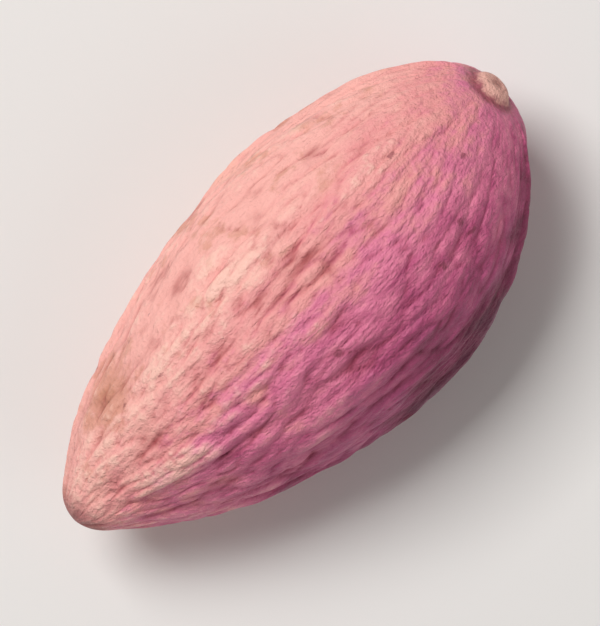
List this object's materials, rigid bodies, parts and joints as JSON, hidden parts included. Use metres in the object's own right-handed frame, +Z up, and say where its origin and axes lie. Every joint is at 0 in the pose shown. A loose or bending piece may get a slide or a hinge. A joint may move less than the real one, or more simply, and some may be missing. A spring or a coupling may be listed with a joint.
{
  "type": "pistachio in shell",
  "caption": "Whole pistachio nut, dried while still closed in its wrinkled hull, with a pointed apex, a round stalk scar and a keel along each edge. It lies on a broad side.",
  "frame": {"origin": "middle of the outline seen from above, on the surface that the nut lies on", "axes": "+X along the nut from the pointed apex to the stalk scar, +Y across it towards the straighter keel, +Z up"},
  "size_m": [0.022, 0.011, 0.0097],
  "materials": {
    "dried_hull": "satin"
  },
  "bodies": {
    "root": {"pistachio": "dried_hull"}
  },
  "joints": []
}
